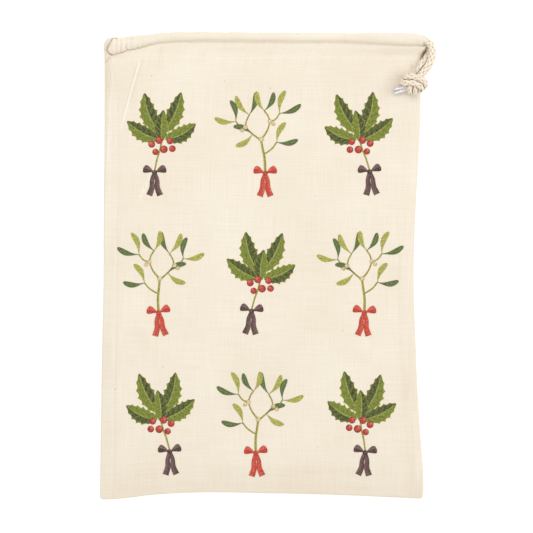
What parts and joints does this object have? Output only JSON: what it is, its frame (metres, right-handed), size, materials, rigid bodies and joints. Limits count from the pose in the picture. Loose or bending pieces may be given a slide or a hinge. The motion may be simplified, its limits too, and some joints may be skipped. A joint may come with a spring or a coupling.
{
  "type": "drawstring gift pouch",
  "caption": "Flat rectangular cotton gift pouch: front and back cloth sewn round three sides, a casing along the open top, and a knotted cord drawn out at the right.",
  "frame": {"origin": "the middle of the back panel's underside, on the surface that the pouch lies on", "axes": "+X across the pouch to the side where the cord comes out, +Y along the pouch from its foot to its mouth, +Z out of its printed front"},
  "size_m": [0.2113, 0.292, 0.0231],
  "materials": {
    "cloth": "matte",
    "thread": "matte",
    "cord": "matte",
    "aglet": "satin"
  },
  "bodies": {
    "pouch": {"front_panel": "cloth", "back_panel": "cloth", "front_casing": "cloth", "back_casing": "cloth", "left_end_fold": "cloth", "left_side_seam": "cloth", "right_side_seam": "cloth", "bottom_seam": "cloth", "front_casing_stitching": "thread", "back_casing_stitching": "thread", "left_side_stitching": "thread", "right_side_stitching": "thread", "bottom_stitching": "thread", "right_slit_bartack": "thread"},
    "drawcord": {"drawcord_front_run": "cord", "drawcord_left_bend": "cord", "drawcord_back_run": "cord"},
    "loop": {"drawcord_front_strand": "cord", "drawcord_back_strand": "cord", "drawcord_knot": "cord", "upper_aglet": "aglet", "lower_aglet": "aglet"}
  },
  "joints": [
    {"name": "cord_pull", "type": "slide", "parent": "pouch", "child": "drawcord", "axis": [1, 0, 0], "range_m": [0, 0.12], "deforming": ["drawcord_left_bend"]},
    {"name": "loop_swing", "type": "hinge", "parent": "drawcord", "child": "loop", "pos_m": [0.0996, 0.1427, 0.0091], "axis": [0, 0, 1], "range_deg": [-15, 80], "deforming": ["drawcord_front_strand", "drawcord_back_strand"]}
  ]
}
